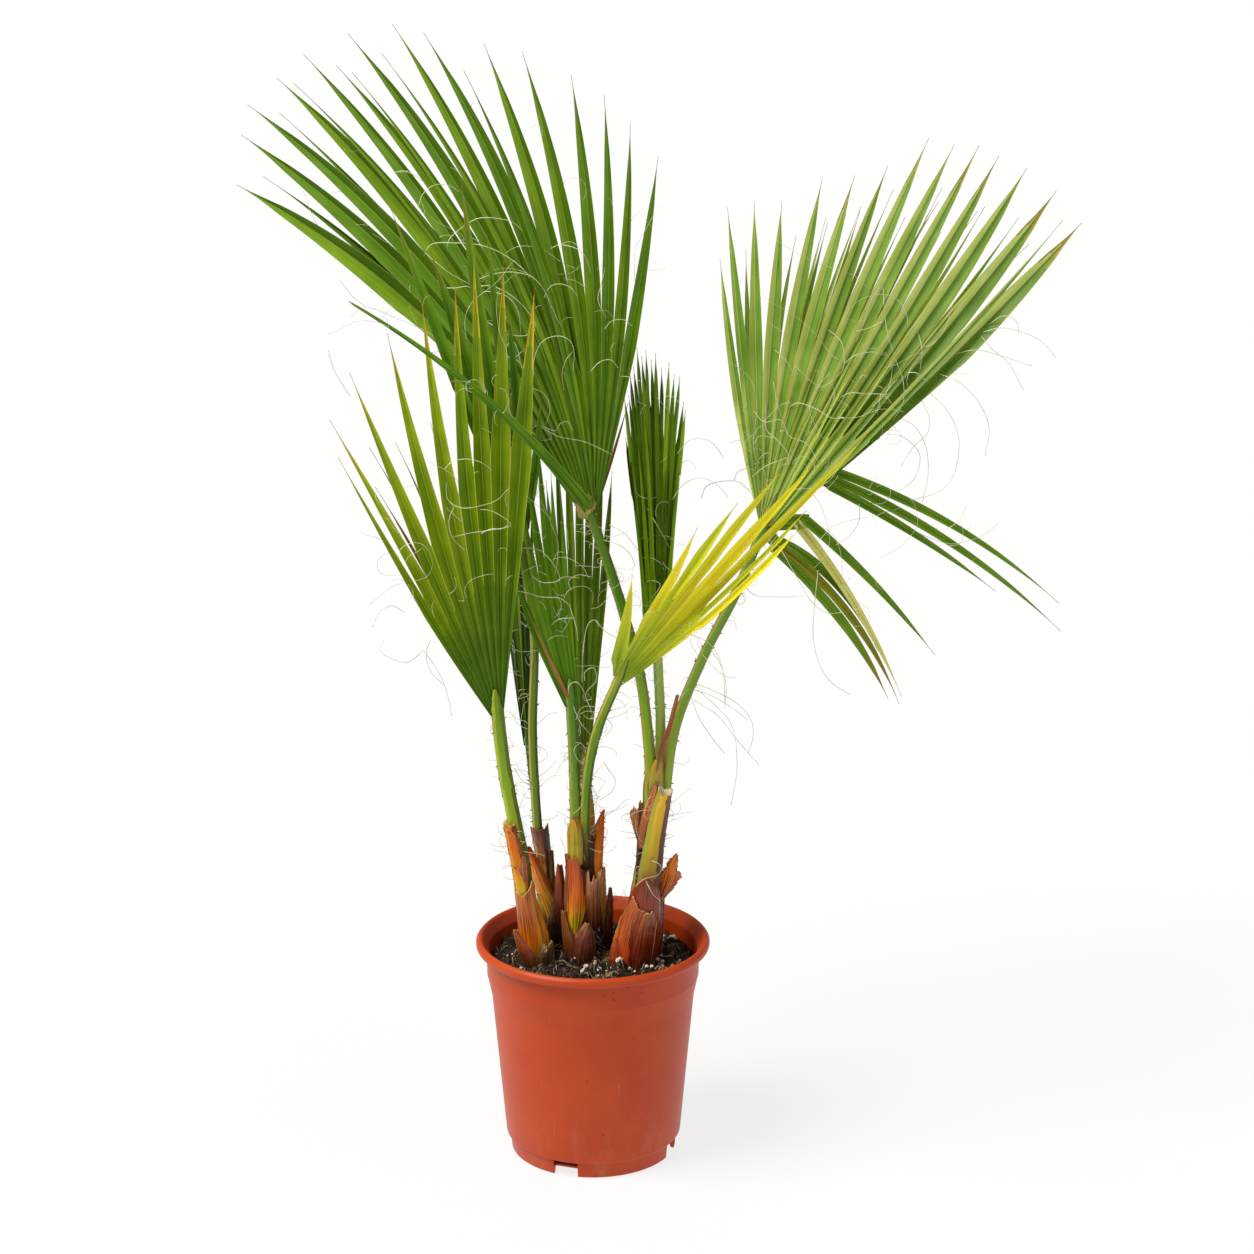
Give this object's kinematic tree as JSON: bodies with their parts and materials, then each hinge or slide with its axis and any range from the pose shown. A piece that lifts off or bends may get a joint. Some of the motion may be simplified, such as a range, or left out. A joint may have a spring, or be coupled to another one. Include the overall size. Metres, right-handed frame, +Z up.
{
  "type": "potted mexican fan palm",
  "caption": "Young fan palm clump with pleated fan leaves on tall petioles, standing in a round terracotta-coloured plastic nursery pot.",
  "frame": {"origin": "centre of the pot's flat underside, on the level that the pot stands on", "axes": "+Z up through the plant; -Y towards the viewer of the picture; +X to the viewer's right"},
  "size_m": [0.8566, 0.2809, 1.1438],
  "materials": {
    "pot_plastic": "injection-moulded terracotta-coloured plastic, satin, with small scuffs",
    "potting_soil": "dark moist peat and bark compost with pale perlite grains",
    "stem": "fibrous brown stem under the leaf sheaths",
    "petiole": "smooth waxy green petiole with brown spiny margins",
    "sheath": "dry papery leaf base, orange to purple-brown",
    "leaf": "pleated green blade, satin, with yellow crests and tips",
    "leaf_dark": "pleated dark green blade, folded, satin",
    "leaf_pale": "pleated pale green blade, satin",
    "leaf_yellow": "young yellow-green pleated blade"
  },
  "bodies": {
    "root": {"pot": "pot_plastic", "soil": "potting_soil", "stem_left": "stem", "stem_left_mid": "stem", "stem_middle": "stem", "stem_right": "stem", "petiole_front_left": "petiole", "petiole_back_left": "petiole", "petiole_narrow_left": "petiole", "petiole_middle": "petiole", "petiole_middle_back": "petiole", "petiole_yellow": "petiole", "petiole_top_left": "petiole", "petiole_spear": "petiole", "petiole_right": "petiole", "stub_left": "sheath", "stub_middle": "sheath", "stub_right": "sheath", "leaf_top_left": "leaf", "leaf_top_left_edge": "leaf", "leaf_front_left": "leaf", "leaf_middle": "leaf", "leaf_middle_back": "leaf_dark", "leaf_narrow_left": "leaf_dark", "leaf_back_left": "leaf", "leaf_right": "leaf_pale", "leaf_right_droop": "leaf", "leaf_right_hang": "leaf", "leaf_yellow": "leaf_yellow", "leaf_spear": "leaf", "sheath_right_tip": "sheath", "sheath_right_flap": "sheath", "sheath_right_torn": "sheath", "sheath_right_belly": "sheath", "sheath_right_foot": "sheath", "sheath_right_side": "sheath", "sheath_left_upper": "sheath", "sheath_left_foot": "sheath", "sheath_left_side": "sheath", "sheath_left_mid_point": "sheath", "sheath_left_mid_foot": "sheath", "sheath_middle_front": "sheath", "sheath_middle_left": "sheath", "sheath_middle_right": "sheath", "sheath_middle_foot": "sheath"}
  },
  "joints": []
}
